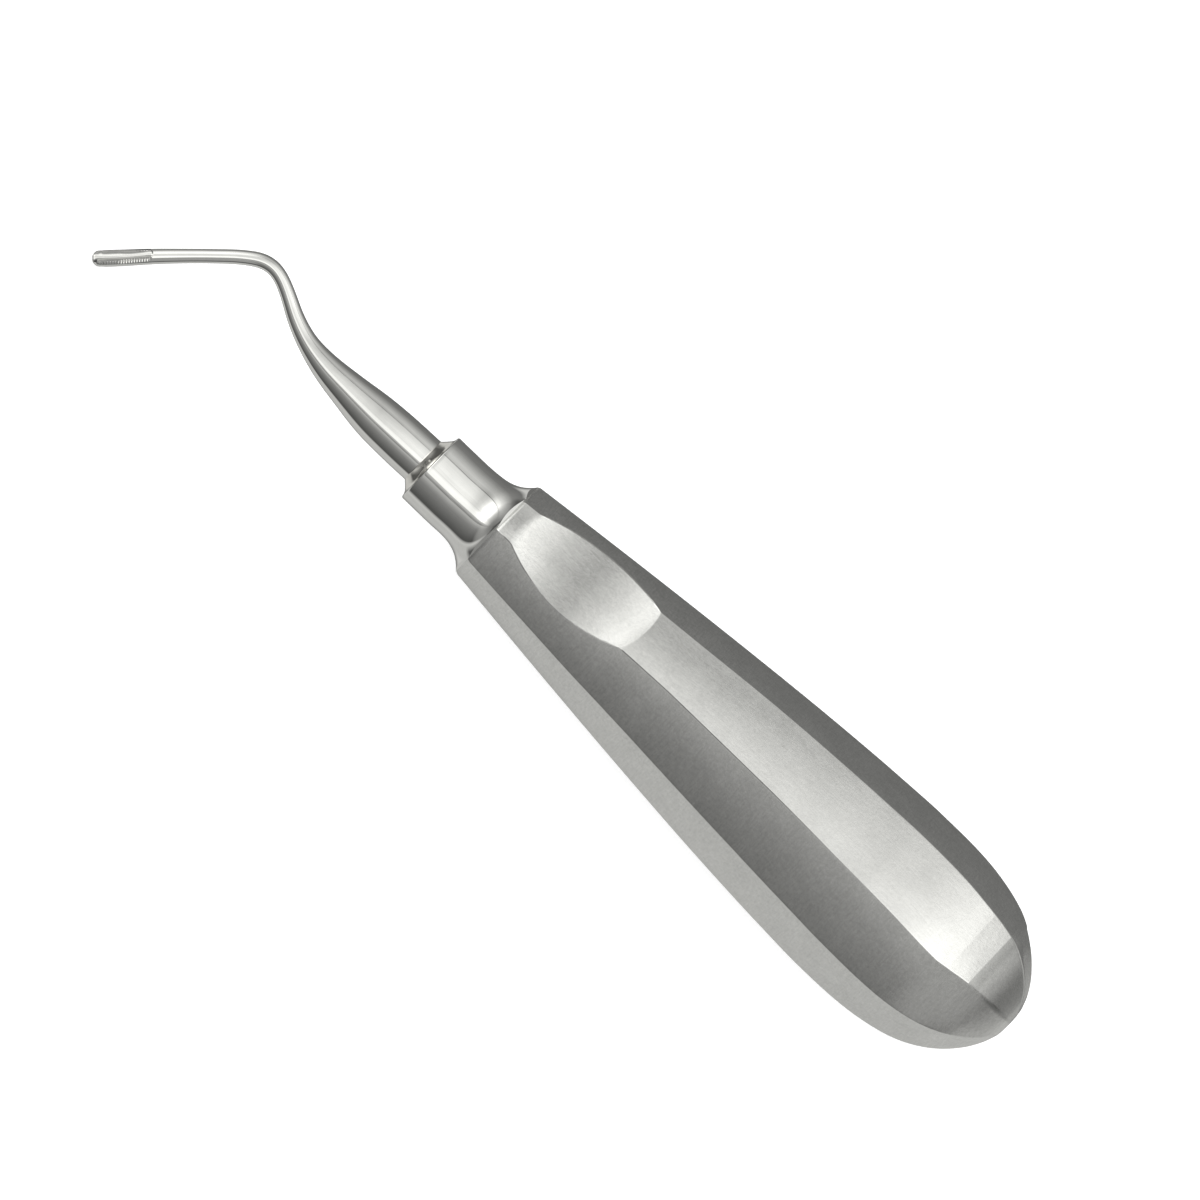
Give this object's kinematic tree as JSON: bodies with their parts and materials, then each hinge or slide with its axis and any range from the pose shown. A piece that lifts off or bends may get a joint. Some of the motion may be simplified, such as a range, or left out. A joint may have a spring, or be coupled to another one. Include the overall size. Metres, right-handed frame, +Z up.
{
  "type": "dental elevator",
  "caption": "Dental elevator with a hollow eight-sided pear handle, a thumb scoop, a turned ferrule and a bent round shank ending in a fine serrated gouge blade.",
  "frame": {"origin": "centre of the instrument's bounding box at the height of the table it lies on", "axes": "+X from the blade towards the butt of the handle, +Z up with the thumb scoop on top, +Y across towards the outside of the shank's bend; the handle's axis is tipped 3.4 degrees about Y because the instrument lies on its belly flat and the back of its blade"},
  "size_m": [0.158, 0.0258, 0.0262],
  "materials": {
    "handle_steel": "satin, brushed across the facets and along the scoop",
    "ferrule_steel": "mirror-polished stainless steel",
    "blade_steel": "mirror-polished stainless steel, finely ground in the gouge",
    "weld_steel": "ground flush and satin",
    "braze": "silver braze, polished with its neighbours",
    "hidden_steel": "raw, not visible"
  },
  "bodies": {
    "root": {"handle_shell_upper": "handle_steel", "handle_shell_lower": "handle_steel", "seam_weld": "weld_steel", "ferrule": "ferrule_steel", "braze_fillet": "braze", "mouth_braze": "braze", "tang_pin": "hidden_steel", "blade_and_shank": "blade_steel"}
  },
  "joints": []
}
